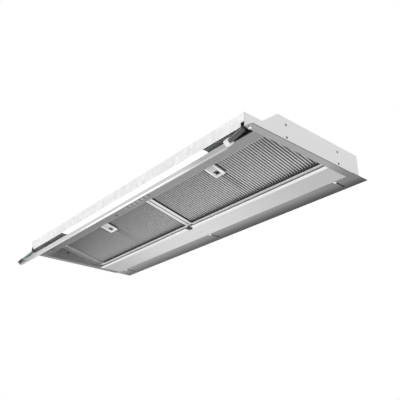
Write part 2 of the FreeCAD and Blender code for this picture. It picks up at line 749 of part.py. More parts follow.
def damper_flap(front):
    """Half disc on the pin, with two hinge knuckles. front is -1 for the front half, +1 for the rear."""
    cy = at(FAN_AT)
    z = FLAP_Z - 0.6
    disc = post(0, cy, z, z + 1.2, FLAP_R)
    keep = flat_box(-100, 100, cy + FLAP_INNER, cy + 100, z - 5, z + 5)
    if front < 0:
        keep = flat_box(-100, 100, cy - 100, cy - FLAP_INNER, z - 5, z + 5)
    near = cy - LUG_CLEAR
    far = cy + LUG_CLEAR
    clear = fuse([flat_box(s * 68.0 - 6.4, s * 68.0 + 6.4, near, far, z - 6, z + 6) for s in (-1, 1)])
    half = disc.common(keep).cut(clear)
    spans = ((-54.0, -34.0), (8.0, 28.0)) if front < 0 else ((-28.0, -8.0), (34.0, 54.0))
    parts = [half]
    for x0, x1 in spans:
        bridge_y = (cy - FLAP_INNER, cy) if front < 0 else (cy, cy + FLAP_INNER)
        parts.append(rod(x0, x1, cy, FLAP_Z, KNUCKLE_R))
        parts.append(flat_box(x0, x1, bridge_y[0], bridge_y[1], z, z + 1.2))
    return fuse(parts).cut(rod(-72.0, 72.0, cy, FLAP_Z, 1.5 + RUN_CLEARANCE))


# ---- assembly ---------------------------------------------------------------------------
def build():
    right_panel = side_panel()
    nodes = {
        "side_panel_right": right_panel,
        "side_panel_left": mirrored(right_panel),
        "rear_wall": rear_wall(),
        "top_deck": top_deck(),
        "front_channel": front_channel(),
        "pocket_liner": pocket_liner(),
        "control_shelf": control_shelf(),
        "rear_panel": rear_panel(),
        "filter_ledge": filter_ledge(),
        "filler_strip": filler_strip(),
        "filler_screws": filler_screws(),
        "corner_screws": corner_screws(),
        "centre_bar": centre_bar(),
        "centre_clip": centre_clip(),
        "lamp_diffuser": lamp_diffuser(),
        "led_board": led_board(),
        "lamp_housing": lamp_housing(),
        "sensor_lens": sensor_lens(),
        "control_board": control_board(),
        "control_box": control_box(),
        "visor_glass": visor_glass(),
        "visor_rail": visor_rail(),
        "visor_end_right": visor_end(),
        "visor_end_left": mirrored(visor_end()),
        "visor_arm_right": visor_arm(),
        "visor_arm_left": mirrored(visor_arm()),
        "visor_boss_right": visor_boss(),
        "visor_boss_left": mirrored(visor_boss()),
        "visor_pins": visor_pins(),
        "hinge_brackets": hinge_brackets(),
        "motor_box": motor_box(),
        "box_screws": box_screws(),
        "inlet_ring": inlet_ring(),
        "volute": volute(),
        "impeller": impeller(),
        "motor": motor(),
        "motor_plate": motor_plate(),
        "motor_mounts": motor_mounts(),
        "capacitor": capacitor(),
        "terminal_box": terminal_box(),
        "cable_gland": cable_gland(),
        "duct_collar": duct_collar(),
        "damper_pin": damper_pin(),
        "damper_flap_front": damper_flap(-1),
        "damper_flap_rear": damper_flap(1),
    }
    for side, x in (("left", -FILTER_X), ("right", FILTER_X)):
        nodes["filter_frame_" + side] = filter_frame(x)
        nodes["filter_baffle_" + side] = filter_baffle(x)
        nodes["filter_handle_" + side] = filter_handle(x)
        nodes["filter_latch_" + side] = filter_latch(x)
    for i in range(BUTTONS):
        nodes["button_%d" % (i + 1)] = button(i)
    return nodes


os.makedirs("parts", exist_ok=True)
for name, shape in build().items():
    if not shape.isValid():
        print("not valid:", name)
    shape.exportStep("parts/" + name + ".step")
    print(name, len(shape.Solids), round(shape.Volume / 1000.0, 2), "cm3")
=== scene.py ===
"""A slim built-in hood, seen from below and from the front right, in a plain pale studio."""
import json
import math

import bmesh
import bpy
from mathutils import Matrix, Vector


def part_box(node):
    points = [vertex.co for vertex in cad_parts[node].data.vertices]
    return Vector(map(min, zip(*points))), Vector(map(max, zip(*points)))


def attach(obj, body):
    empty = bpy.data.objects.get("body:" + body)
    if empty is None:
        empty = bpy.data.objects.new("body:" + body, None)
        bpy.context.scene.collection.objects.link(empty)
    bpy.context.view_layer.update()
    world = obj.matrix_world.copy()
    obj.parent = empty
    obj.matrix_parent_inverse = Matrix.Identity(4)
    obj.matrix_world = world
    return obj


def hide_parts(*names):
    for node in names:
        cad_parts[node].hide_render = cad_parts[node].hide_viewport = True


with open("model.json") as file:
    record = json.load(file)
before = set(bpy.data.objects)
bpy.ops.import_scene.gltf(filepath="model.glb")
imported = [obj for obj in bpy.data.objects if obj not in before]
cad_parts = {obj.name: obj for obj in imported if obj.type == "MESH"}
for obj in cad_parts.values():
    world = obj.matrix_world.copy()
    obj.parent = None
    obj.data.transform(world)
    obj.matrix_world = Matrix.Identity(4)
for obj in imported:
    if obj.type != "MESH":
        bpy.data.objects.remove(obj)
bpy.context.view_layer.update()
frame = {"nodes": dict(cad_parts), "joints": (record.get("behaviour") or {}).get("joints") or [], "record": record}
NODES = frame["nodes"]
JOINTS = {joint["name"]: joint for joint in frame["joints"]}
MM = 0.001

# ---- camera, light and floor ------------------------------------------------------------
CAMERA_AT = (0.995, -0.753, -0.514)
CAMERA_HEADING = 49.67      # degrees to the left of +Y
CAMERA_PITCH = 24.83        # degrees above the horizon
CAMERA_LENS = 48.65
FLOOR_Z = -1.65             # the hood hangs this far above the floor
FLOOR_REACH = 14.0

# ---- grease filters, as in the CAD part -------------------------------------------------
SLIDE = JOINTS["latch_left_slide"]["axis"]
FORWARD = -Vector(SLIDE).normalized()           # along the filter, towards its front edge
UPWARD = Vector((0.0, FORWARD.z, -FORWARD.y))
NOSE = 2.5 * MM
RECESS = 5.0 * MM
RIDGE = 3.4 * MM
PITCH = 7.0 * MM
BORDER = 9.5 * MM
SHEET = 0.8 * MM
HANDLE_X = 8.8 * MM
HANDLE_FROM = 106.0 * MM
HANDLE_TO = 143.0 * MM
HANDLE_HALF = 15.5 * MM
WINDOW_HALF = 9.5 * MM

ZINC_TONE = 0.93

# ---- places on the housing, as in the CAD part ------------------------------------------
BOX_FOOT = 10.0 * MM        # foot flange of the motor box, beside and in front of it
BOX_DEPTH = 192.0 * MM
COLLAR_R = 74.5 * MM
SLOT_X = (-399.5, 0.0, 399.5)       # in millimetres
WALL_X = 431.5 * MM         # inner face of a side wall
WALL_HOLES = [(y, z) for y in (0.100, -0.060) for z in (0.022, 0.050)]
FLANGE_CUT = (0.4478, 0.4488)       # outer cut edge of a side flange, from X to X
WALL_INSIDE = (0.4320, 0.4317)
WALL_OUTSIDE = (0.4322, 0.4324)
ABOVE_FLANGE = (0.0006, 0.0009)
BORDER_REAR = (0.0515, 0.0535)      # front to rear of the filter border's inner rear edge


# ---- materials --------------------------------------------------------------------------
class Shading:
    """A small node-tree writer around one Principled shader."""

    def __init__(self, name, roughness=0.5, metallic=0.0, **sockets):
        self.material = bpy.data.materials.new(name)
        self.material.use_nodes = True
        self.tree = self.material.node_tree
        self.tree.nodes.clear()
        self.out = self.tree.nodes.new("ShaderNodeOutputMaterial")
        self.shader = self.tree.nodes.new("ShaderNodeBsdfPrincipled")
        self.link(self.shader.outputs[0], self.out.inputs["Surface"])
        self.shader.inputs["Roughness"].default_value = roughness
        self.shader.inputs["Metallic"].default_value = metallic
        for socket, value in sockets.items():
            self.shader.inputs[socket.replace("_", " ")].default_value = value
        self.place = self.tree.nodes.new("ShaderNodeTexCoord").outputs["Object"]

    def link(self, source, target):
        self.tree.links.new(source, target)

    def node(self, kind, inputs=None, **settings):
        made = self.tree.nodes.new(kind)
        for key, value in settings.items():
            setattr(made, key, value)
        for key, value in (inputs or {}).items():
            if isinstance(value, bpy.types.NodeSocket):
                self.link(value, made.inputs[key])
            else:
                made.inputs[key].default_value = value
        return made

    def stretched(self, scale):
        return self.node("ShaderNodeMapping", {"Vector": self.place, "Scale": scale}).outputs[0]

    def noise(self, scale, detail=4.0, stretch=None, distortion=0.0):
        where = self.stretched(stretch) if stretch else self.place
        made = self.node("ShaderNodeTexNoise", {"Vector": where, "Scale": scale, "Detail": detail,
                                                "Distortion": distortion})
        return made.outputs["Fac"]

    def axis(self, name):
        """One coordinate of the object's own frame, in metres."""
        return self.node("ShaderNodeSeparateXYZ", {0: self.place}).outputs[name]

    def span(self, value, from_low, from_high, to_low=0.0, to_high=1.0, smooth=True):
        """Maps a value from one range to another, clamped."""
        kind = "SMOOTHSTEP" if smooth else "LINEAR"
        made = self.node("ShaderNodeMapRange", {"Value": value, "From Min": from_low, "From Max": from_high,
                                                "To Min": to_low, "To Max": to_high}, interpolation_type=kind)
        return made.outputs[0]

    def maths(self, operation, a, b=0.0):
        return self.node("ShaderNodeMath", {0: a, 1: b}, operation=operation).outputs[0]

    def ramp(self, value, stops):
        made = self.node("ShaderNodeValToRGB", {"Fac": value})
        elements = made.color_ramp.elements
        while len(elements) < len(stops):
            elements.new(0.5)
        for element, (position, tone) in zip(elements, stops):
            element.position = position
            element.color = (*colour(tone), 1.0)
        return made.outputs["Color"]

    def mix(self, factor, a, b, blend="MIX"):
        made = self.node("ShaderNodeMix", {"Factor": factor}, data_type="RGBA", blend_type=blend)
        for socket, value in ((6, a), (7, b)):
            if isinstance(value, bpy.types.NodeSocket):
                self.link(value, made.inputs[socket])
            else:
                made.inputs[socket].default_value = (*colour(value), 1.0)
        return made.outputs[2]

    def base(self, source):
        self.link(source, self.shader.inputs["Base Color"])

    def roughen(self, source):
        self.link(source, self.shader.inputs["Roughness"])

    def bump(self, height, strength, distance):
        made = self.node("ShaderNodeBump", {"Height": height, "Strength": strength, "Distance": distance})
        self.link(made.outputs[0], self.shader.inputs["Normal"])


def colour(tone):
    """A grey from one number, or a colour as it is."""
    if isinstance(tone, (int, float)):
        return (tone, tone, tone * 1.01)
    return tone


def brushed(name, tone, roughness=0.32, shade=None, metallic=0.85):
    """Sheet steel with brush lines along X. shade(s, colour) may paint light and shade into the colour over the
    sheet.
    """
    s = Shading(name, metallic=metallic, Anisotropic=0.4)
    lines = s.noise(1.0, 6.0, stretch=(6.0, 900.0, 900.0))
    fine = s.noise(1.0, 3.0, stretch=(30.0, 3600.0, 3600.0))
    cloud = s.noise(5.0, 2.0)
    base = s.ramp(lines, [(0.3, tone * 0.93), (0.7, tone * 1.06)])
    base = s.mix(s.span(cloud, 0.35, 0.7, 0.0, 0.25), base, tone * 0.9)
    if shade:
        base = shade(s, base)
    s.base(base)
    s.roughen(s.span(fine, 0.3, 0.7, roughness - 0.05, roughness + 0.07))
    s.bump(lines, 0.12, 0.0002)
    return s.material


def zinc(name, tone):
    """Galvanised sheet: faint crystals, a dull sheen, pale handling marks."""
    s = Shading(name, metallic=0.45)
    cells = s.node("ShaderNodeTexVoronoi", {"Vector": s.place, "Scale": 90.0}, feature="F1").outputs["Color"]
    grain = s.node("ShaderNodeRGBToBW", {0: cells}).outputs[0]
    base = s.ramp(grain, [(0.1, tone * 0.93), (0.9, min(1.0, tone * 1.05))])
    marks = s.noise(9.0, 5.0)
    s.base(s.mix(s.span(marks, 0.55, 0.75, 0.0, 0.25), base, tone * 0.88))
    s.roughen(s.span(grain, 0.0, 1.0, 0.34, 0.5))
    s.bump(s.noise(700.0, 2.0), 0.06, 0.0002)
    return s.material


def moulded(name, tone, roughness=0.45, grain=0.25, coat=0.0):
    """Moulded plastic with a fine spark-eroded grain and slight mottling."""
    s = Shading(name, Coat_Weight=coat)
    light, dark = [tuple(min(1.0, c * k) for c in colour(tone)) for k in (1.08, 0.9)]
    s.base(s.mix(s.span(s.noise(25.0, 4.0), 0.35, 0.65), dark, light))
    pits = s.noise(1500.0, 2.0)
    s.roughen(s.span(s.noise(60.0, 3.0), 0.3, 0.7, roughness - 0.06, roughness + 0.06))
    s.bump(pits, grain, 0.0002)
    return s.material


def painted(name, tone, roughness=0.35):
    """Paint with a faint orange peel, worn a little brighter in patches."""
    s = Shading(name, Specular_IOR_Level=0.6, Coat_Weight=0.2)
    wear = s.span(s.noise(45.0, 6.0), 0.62, 0.75, 0.0, 0.5)
    s.base(s.mix(wear, s.ramp(s.noise(12.0, 3.0), [(0.3, tone * 0.85), (0.7, tone * 1.15)]), tone * 1.7))
    s.roughen(s.span(s.noise(80.0, 3.0), 0.3, 0.7, roughness - 0.06, roughness + 0.08))
    s.bump(s.noise(420.0, 1.0), 0.1, 0.0003)
    return s.material


def strip_shade(s, base):
    """Painted shade: the strip falls off to dark towards the wall and towards its right end."""
    back = s.span(s.axis("Y"), 0.118, 0.172)
    end = s.span(s.axis("X"), 0.2, 0.45, 0.0, 0.45)
    depth = s.maths("MAXIMUM", back, s.maths("MULTIPLY", end, 1.0))
    return s.mix(depth, base, 0.05)


def panel_shade(s, base):
    """Painted reflection: the rear panel is brightest a little left of its middle and darker towards both ends."""
    right = s.span(s.axis("X"), 0.0, 0.43, 0.0, 0.55)
    left = s.span(s.axis("X"), -0.1, -0.45, 0.0, 0.7)
    return s.mix(s.maths("MAXIMUM", right, left), base, 0.36)


def shelf_shade(s, base):
    """Painted shade and highlight: the shelf is darker to the left, and its rear fold is painted as a thin line
    catching the light.
    """
    base = s.mix(s.span(s.axis("X"), 0.1, -0.43, smooth=False), base, 0.13)
    edge = s.span(s.axis("Y"), -0.1034, -0.1018, 0.0, 0.5)
    return s.mix(edge, base, 0.5)


def side_shade(s, base):
    """Brushed flange below with painted shade towards the rear, a wall inside lightened as painted light, plain
    zinc outside, and a dark outer cut edge.
    """
    reach = s.maths("ABSOLUTE", s.axis("X"))
    # Painted shade: darker towards the rear.
    base = s.mix(s.span(s.axis("Y"), 0.04, 0.12, 0.0, 0.65), base, 0.12)
    base = s.mix(s.span(reach, *FLANGE_CUT), base, 0.08)
    above = s.span(s.axis("Z"), *ABOVE_FLANGE)
    # Painted light: the inside wall is lighter.
    base = s.mix(s.maths("MULTIPLY", s.span(reach, *WALL_INSIDE), above), base, 0.46)
    outside = s.maths("MULTIPLY", s.span(reach, *WALL_OUTSIDE), above)
    return s.mix(outside, base, ZINC_TONE)


def frame_shade(s, base):
    """Painted light and shade on the filter's border: it shines with a painted glint and highlight at its rear, a
    painted highlight beside the centre line, and painted shade makes it dark inside.
    """
    rear = s.span(s.axis("Y"), *BORDER_REAR)
    under = s.span(s.axis("Z"), 0.0125, 0.0115)
    # Painted glint: the rear border glows a little, though it is no lamp.
    painted_glint = s.ramp(s.maths("MULTIPLY", rear, under), [(0.0, 0.0), (1.0, 1.0)])
    s.link(painted_glint, s.shader.inputs["Emission Color"])
    s.shader.inputs["Emission Strength"].default_value = 0.22
    centre = s.span(s.maths("ABSOLUTE", s.axis("X")), 0.0122, 0.0112, 0.0, 0.5)
    base = s.mix(s.maths("MAXIMUM", rear, centre), base, 0.95)
    corner = Vector(JOINTS["filter_left_swing"]["pos_m"]) - UPWARD * NOSE
    rise = s.node("ShaderNodeVectorMath", {0: s.place, 1: tuple(UPWARD)}, operation="DOT_PRODUCT")
    level = corner.dot(UPWARD)
    walls = s.span(rise.outputs["Value"], level + 0.4 * MM, level + 0.9 * MM)
    # Painted shade on the border's raised walls.
    inside = s.maths("MULTIPLY", walls, s.span(s.axis("X"), -0.42, -0.41))
    return s.mix(inside, base, 0.025)


def rail_shade(s, base):
    """Painted shade: the rail is duller at its ends, away from the lamp."""
    return s.mix(s.span(s.maths("ABSOLUTE", s.axis("X")), 0.29, 0.36, 0.0, 0.8), base, 0.5)


def ledge_shade(s, base):
    """Painted shade: the ledge's upturned front lip is duller than its face."""
    return s.mix(s.span(s.axis("Z"), 0.0012, 0.0018), base, 0.3)


def aluminium_sheet(name, tone, valley_shade):
    """Embossed aluminium with painted shade: dark in its valleys, which the mesh marks, darker towards the front
    and the left, and a painted shadow along its rear edge.
    """
    s = Shading(name, roughness=0.38, metallic=0.7)
    valley = s.node("ShaderNodeAttribute", attribute_name="valley").outputs["Fac"]
    grain = s.ramp(s.noise(1.0, 4.0, stretch=(900.0, 12.0, 900.0)), [(0.3, tone * 0.93), (0.7, tone * 1.07)])
    # Painted shade: darker towards the front and the left, most in the front left corner.
    toward_front = s.span(s.axis("Y"), 0.05, -0.09, 0.0, 0.45, smooth=False)
    toward_left = s.span(s.axis("X"), 0.3, -0.43, 0.0, 0.3, smooth=False)
    corner = s.maths("MULTIPLY", s.maths("MULTIPLY", toward_front, toward_left), 2.2)
    front_left_shade = s.maths("ADD", s.maths("ADD", toward_front, toward_left), corner)
    lit = s.mix(front_left_shade, s.mix(valley, grain, valley_shade), 0.1)
    # Painted shadow along the rear edge.
    s.base(s.mix(s.span(s.axis("Y"), *BORDER_REAR, 0.0, 0.85), lit, 0.02))
    s.roughen(s.span(s.noise(200.0, 3.0), 0.3, 0.7, 0.32, 0.46))
    s.bump(s.noise(900.0, 2.0), 0.08, 0.0002)
    return s.material


def opal_lamp():
    """A lit opal cover: white light, a little greyer towards its lower front side."""
    s = Shading("lamp_opal", roughness=0.25, Emission_Strength=0.8)
    haze = s.span(s.noise(30.0, 2.0), 0.3, 0.7, 0.97, 1.0)
    across = s.span(s.axis("Y"), -0.150, -0.134, 1.0, 0.82)
    glow = s.ramp(s.maths("MULTIPLY", haze, across), [(0.0, 0.0), (1.0, 1.0)])
    s.base(s.ramp(haze, [(0.0, 0.7), (1.0, 0.8)]))
    s.link(glow, s.shader.inputs["Emission Color"])
    s.bump(s.noise(600.0, 2.0), 0.04, 0.0002)
    return s.material


def clear_glass():
    """Thin clear glass with a faint film, denser and greener at its cut edges."""
    s = Shading("visor_clear_glass", roughness=0.03, Specular_IOR_Level=0.15)
    film = s.span(s.noise(14.0, 4.0), 0.35, 0.65, 0.03, 0.06)
    cut = s.span(s.maths("ABSOLUTE", s.axis("X")), 0.4245, 0.4255)
    s.base(s.mix(cut, (0.80, 0.84, 0.83), (0.25, 0.40, 0.36)))
    s.link(s.maths("MAXIMUM", film, s.maths("MULTIPLY", cut, 0.75)), s.shader.inputs["Alpha"])
    s.roughen(s.span(s.noise(40.0, 4.0), 0.4, 0.8, 0.02, 0.08))
    return s.material


def board_green():
    """Solder mask with straight copper runs under it and pale pads."""
    s = Shading("solder_mask", roughness=0.35, Coat_Weight=0.3)
    runs = s.node("ShaderNodeTexBrick", {"Vector": s.stretched((60.0, 220.0, 60.0)), "Scale": 6.0,
                                         "Mortar Size": 0.08}).outputs["Fac"]
    s.base(s.mix(runs, (0.03, 0.16, 0.07), (0.10, 0.30, 0.14)))
    s.bump(runs, 0.1, 0.0002)
    return s.material


FINISH = {
    "stainless_steel": brushed("brushed_steel", 0.34),
    "polished_steel": brushed("polished_steel", 0.92, roughness=0.16),
    "galvanised_sheet": zinc("zinc_sheet", 0.42),
    "black_plastic": moulded("black_moulding", 0.012, roughness=0.5),
    "light_opal": opal_lamp(),
    "visor_glass": clear_glass(),
    "rail_aluminium": brushed("bright_rail", 0.8, roughness=0.16, metallic=0.7, shade=rail_shade),
    # end_cap_light and end_cap_dark are lit and shaded copies of one cap: painted light and painted shade.
    "end_cap_light": moulded("pale_cap", 0.82, roughness=0.3, coat=0.3),
    "end_cap_dark": moulded("shaded_cap", 0.02, roughness=0.3, coat=0.3),
    "arm_steel": painted("arm_paint", 0.06),
    "filter_aluminium": brushed("filter_border", 0.42, roughness=0.35, shade=frame_shade, metallic=0.15),
    "lamp_aluminium": brushed("satin_tray", 0.6, roughness=0.35),
    "grey_plastic": moulded("pale_grey_moulding", 0.62, roughness=0.4),
    "button_plastic": moulded("button_grey", 0.27, roughness=0.35),
    "latch_plastic": moulded("latch_dark", 0.03, roughness=0.4),
    "sensor_window": moulded("sensor_dark", 0.03, roughness=0.15, coat=0.6),
    "circuit_board": board_green(),
    "motor_can": painted("motor_paint", 0.09),
    "fan_plastic": moulded("fan_moulding", 0.11, roughness=0.5),
    "bush_rubber": moulded("soft_rubber", 0.02, roughness=0.8, grain=0.4),
    "capacitor_case": moulded("capacitor_case", 0.75, roughness=0.3),
}
# Per-part copies of the steels with painted light and shade: the rear panel is lighter as painted reflection, and
# the left side panel darker than the right as painted shade.
SPECIAL = {
    "front_channel": zinc("front_zinc", ZINC_TONE),
    "filler_strip": brushed("strip_steel", 0.34, shade=strip_shade),
    "rear_panel": brushed("panel_steel", 0.76, roughness=0.28, shade=panel_shade),
    "control_shelf": brushed("shelf_steel", 0.31, shade=shelf_shade),
    "side_panel_left": brushed("left_flange_steel", 0.21, shade=side_shade),
    "side_panel_right": brushed("right_flange_steel", 0.40, shade=side_shade),
    "filter_ledge": brushed("ledge_steel", 0.92, roughness=0.16, shade=ledge_shade),
}
SLOTS = {part["node"]: part["material_slot"] for part in frame["record"]["subparts"]}
CREASE = math.radians(32.0)
NO_BEVEL = {"impeller", "filter_baffle_left", "filter_baffle_right"}


def dress_cad():
    """Gives every CAD node its material, a fine bevel and shading that breaks at real edges."""
    for name, obj in NODES.items():
        material = SPECIAL.get(name) or FINISH[SLOTS[name]]
        if not obj.material_slots:
            obj.data.materials.append(material)
        for slot in obj.material_slots:
            slot.material = material
        if name in NO_BEVEL:
            continue
        weld = obj.modifiers.new("weld", "WELD")
        weld.merge_threshold = 0.00001
        bevel = obj.modifiers.new("bevel", "BEVEL")
        bevel.width = 0.0002
        bevel.segments = 2
        bevel.limit_method = "ANGLE"
        bevel.angle_limit = CREASE
        bevel.use_clamp_overlap = True


dress_cad()


# ---- mesh helpers -----------------------------------------------------------------------
def piece(name, mesh, material, body):
    """Places a finished mesh as a named piece of one body."""
    mesh.materials.append(material)
    obj = bpy.data.objects.new(name, mesh)
    bpy.context.scene.collection.objects.link(obj)
    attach(obj, body)
    return obj


def mesh_from(name, bm, smooth_angle=CREASE):
    """Turns a bmesh into mesh data, smooth except at real edges."""
    bmesh.ops.remove_doubles(bm, verts=bm.verts, dist=1e-7)
    bmesh.ops.recalc_face_normals(bm, faces=bm.faces)
    for face in bm.faces:
        face.smooth = True
    for edge in bm.edges:
        edge.smooth = not (edge.is_manifold and edge.calc_face_angle(0.0) > smooth_angle)
    mesh = bpy.data.meshes.new(name)
    bm.to_mesh(mesh)
    bm.free()
    return mesh


def add_block(bm, low, high, round_by=0.0003, segments=2):
    """A block with rounded edges, given by two corners."""
    made = bmesh.ops.create_cube(bm, size=1.0)
    low, high = Vector(low), Vector(high)
    size = high - low
    for vert in made["verts"]:
        vert.co = Vector((a * b for a, b in zip(vert.co, size))) + (low + high) / 2.0
    edges = list(dict.fromkeys(edge for vert in made["verts"] for edge in vert.link_edges))
    bmesh.ops.bevel(bm, geom=edges, offset=round_by, segments=segments, profile=0.6, affect="EDGES")


def add_turned(bm, outline, centre, axis="Z", steps=32):
    """A turned shape from (radius, height) points, closed where its outline reaches radius 0."""
    turn = {"Z": Matrix.Identity(3), "Y": Matrix.Rotation(math.radians(-90), 3, "X"),
            "X": Matrix.Rotation(math.radians(90), 3, "Y")}[axis]
    rings = []
    for radius, height in outline:
        if radius <= 0.0:
            rings.append([bm.verts.new(Vector(centre) + turn @ Vector((0, 0, height)))])
            continue
        ring = []
        for k in range(steps):
            a = 2 * math.pi * k / steps
            ring.append(bm.verts.new(
                Vector(centre) + turn @ Vector((radius * math.cos(a), radius * math.sin(a), height))))
        rings.append(ring)
    for one, two in zip(rings, rings[1:]):
        for k in range(steps):
            n = (k + 1) % steps
            corners = [one[k % len(one)], one[n % len(one)], two[n % len(two)], two[k % len(two)]]
            unique = list(dict.fromkeys(corners))
            if len(unique) >= 3:
                bm.faces.new(unique)


def add_pressed_rib(bm, start, end, width, height, up):
    """A long pressed rib with round ends on a flat sheet, as a closed low dome."""
    start, end, up = Vector(start), Vector(end), Vector(up)
    along = (end - start).normalized()
    across = up.cross(along)
    loops = []
    levels = ((1.0, 0.0), (0.86, 0.55), (0.55, 0.9), (0.2, 1.0))
    arc = 10
    for reach, lift in levels:
        radius = width / 2.0 * reach
        ring = []
        for centre, base in ((end, -90.0), (start, 90.0)):
            for k in range(arc + 1):
                a = math.radians(base + 180.0 * k / arc)
                around = along * (radius * math.cos(a)) + across * (radius * math.sin(a))
                ring.append(bm.verts.new(centre + around + up * height * lift))
        loops.append(ring)
    for one, two in zip(loops, loops[1:]):
        for k in range(len(one)):
            n = (k + 1) % len(one)
            bm.faces.new((one[k], one[n], two[n], two[k]))
    bm.faces.new(loops[-1])
    bm.faces.new(list(reversed(loops[0])))


# ---- filters ----------------------------------------------------------------------------
def filter_frame_of(side):
    """Centre X, half width, length and the rear lower corner of a filter, from the frame."""
    low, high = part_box("filter_frame_" + side)
    swing = JOINTS["filter_%s_swing" % side]
    corner = Vector(swing["pos_m"]) - FORWARD * NOSE - UPWARD * NOSE
    centre = (low.x + high.x) / 2.0
    corner.x = 0.0
    return centre, (high.x - low.x) / 2.0, filter_length(low, high), corner


def filter_length(low, high):
    """Length of the filter from the height and depth of its box."""
    deep = high.y - low.y
    tall = high.z - low.z
    c, s = -FORWARD.y, FORWARD.z
    return (deep * c - tall * s) / (c * c - s * s)


def on_filter(corner, x, u, w):
    return corner + Vector((x, 0.0, 0.0)) + FORWARD * u + UPWARD * w


def baffle(side):
    """Corrugated sheet with rounded ridges that fade out at both ends."""
    centre, half, length, corner = filter_frame_of(side)
    inner = half - BORDER
    count = int(2 * inner / PITCH)
    margin = (2 * inner - count * PITCH) / 2.0
    per = 10
    columns = [(-inner, 0.0)]
    for i in range(count):
        for k in range(per):
            share = k / per
            wave = 0.5 - 0.5 * math.cos(2 * math.pi * share)
            columns.append((-inner + margin + (i + share) * PITCH, wave))
    columns.append((inner, 0.0))
    u0 = BORDER
    u1 = length - BORDER
    fade = 2.2 * MM
    rows = [u0, u0 + fade * 0.5, u0 + fade, u0 + fade * 1.6]
    hole_from, hole_to = HANDLE_FROM + 3.0 * MM, HANDLE_TO - 1.0 * MM
    rows += [hole_from, hole_to]
    rows += [u1 - fade * 1.6, u1 - fade, u1 - fade * 0.5, u1]
    bm = bmesh.new()
    # The valley weight marks where the sheet's material paints shade.
    valley = bm.verts.layers.float.new("valley")
    grid = []
    for u in rows:
        edge = min(u - u0, u1 - u) / (fade * 1.6)
        rise = max(0.0, min(1.0, edge))
        rise = rise * rise * (3 - 2 * rise)
        line = []
        for x, wave in columns:
            soft = wave * wave * (3 - 2 * wave)
            vert = bm.verts.new(on_filter(corner, centre + x, u, RECESS + RIDGE * soft * rise))
            vert[valley] = max(0.0, min(1.0, (wave - 0.16) / 0.3)) * rise
            line.append(vert)
        grid.append(line)
    for r in range(len(rows) - 1):
        mid_u = (rows[r] + rows[r + 1]) / 2.0
        for k in range(len(columns) - 1):
            mid_x = (columns[k][0] + columns[k + 1][0]) / 2.0
            if abs(mid_x - HANDLE_X) < WINDOW_HALF and hole_from < mid_u < hole_to:
                continue
            bm.faces.new((grid[r][k], grid[r][k + 1], grid[r + 1][k + 1], grid[r + 1][k]))
    loose = [v for v in bm.verts if not v.link_faces]
    bmesh.ops.delete(bm, geom=loose, context="VERTS")
    mesh = mesh_from("baffle_" + side, bm, math.radians(80))
    obj = piece("baffle_" + side, mesh, RIBBED, "filter_" + side)
    solid = obj.modifiers.new("sheet", "SOLIDIFY")
    solid.thickness = SHEET
    solid.offset = 1.0
    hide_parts("filter_baffle_" + side)


# 0.07 is the painted shade tone in the valleys.
RIBBED = aluminium_sheet("embossed_aluminium", 0.68, 0.07)
for side in ("left", "right"):
    baffle(side)


def filter_matrix(side):
    """From a filter's own frame (x across, y to the rear, z up, at its rear edge) to the hood's."""
    centre, _, _, corner = filter_frame_of(side)
    turn = Matrix((Vector((1, 0, 0)), -FORWARD, UPWARD)).transposed().to_4x4()
    return Matrix.Translation(corner + Vector((centre, 0.0, 0.0))) @ turn


def blocks(name, boxes, material, body, matrix=None, round_by=0.0003, segments=2):
    """One piece made of several rounded blocks, given in millimetres."""
    bm = bmesh.new()
    for low, high in boxes:
        one = bmesh.new()
        add_block(one, Vector(low) * MM, Vector(high) * MM, round_by, segments)
        part = bpy.data.meshes.new("part")
        one.to_mesh(part)
        one.free()
        bm.from_mesh(part)
        bpy.data.meshes.remove(part)
    if matrix is not None:
        bm.transform(matrix)
    return piece(name, mesh_from(name, bm), material, body)


def handle_details(side):
    """Raised light borders, a grey moulded centre plate and a black skirt on a filter handle; the skirt stands in
    for the shade under the handle's sides, as painted shade.
    """
    matrix = filter_matrix(side)
    body = "filter_" + side
    x, half = HANDLE_X / MM, HANDLE_HALF / MM
    rear, front = -HANDLE_FROM / MM, -HANDLE_TO / MM
    rims = [((x - half + 0.1, front + 1.5, -2.1), (x - half + 4.6, rear - 0.1, -1.1)),
            ((x + half - 4.6, front + 1.5, -2.1), (x + half - 0.1, rear - 0.1, -1.1)),
            ((x - half + 4.7, rear - 4.6, -1.9), (x + half - 4.7, rear - 0.2, -1.1))]
    blocks("handle_rims_" + side, rims, FINISH["end_cap_light"], body, matrix, 0.0005, 3)
    plate = [((x - half + 5.2, front + 1.2, -1.5), (x + half - 5.2, rear - 19.6, -1.1))]
    blocks("handle_plate_" + side, plate, HANDLE_PLATE, body, matrix, 0.0002)
    # Painted shade: black blocks under the handle's sides stand in for the shade there.
    skirt = [((x - half + 0.3, front + 2.0, 1.3), (x - half + 1.9, rear - 1.2, 4.8)),
             ((x + half - 1.9, front + 0.6, 1.3), (x + half + 0.2, rear - 1.2, 4.8)),
             ((x - half + 2.0, rear - 2.0, 1.3), (x + half - 2.0, rear - 0.6, 4.8))]
    blocks("handle_shade_skirt_" + side, skirt, FINISH["black_plastic"], body, matrix, 0.0003)


HANDLE_PLATE = moulded("handle_plate_grey", 0.52, roughness=0.35)
for side in ("left", "right"):
    handle_details(side)


# ---- underside details ------------------------------------------------------------------
def slot_shade_pads():
    """Black rubber pads behind the filler strip's slots, standing in for the shade inside them: painted shade."""
    pads = [((x - 5.0, 123.5, 2.5), (x + 5.0, 162.5, 2.8)) for x in SLOT_X]
    blocks("slot_shade_pads", pads, FINISH["bush_rubber"], "housing", round_by=0.0001)


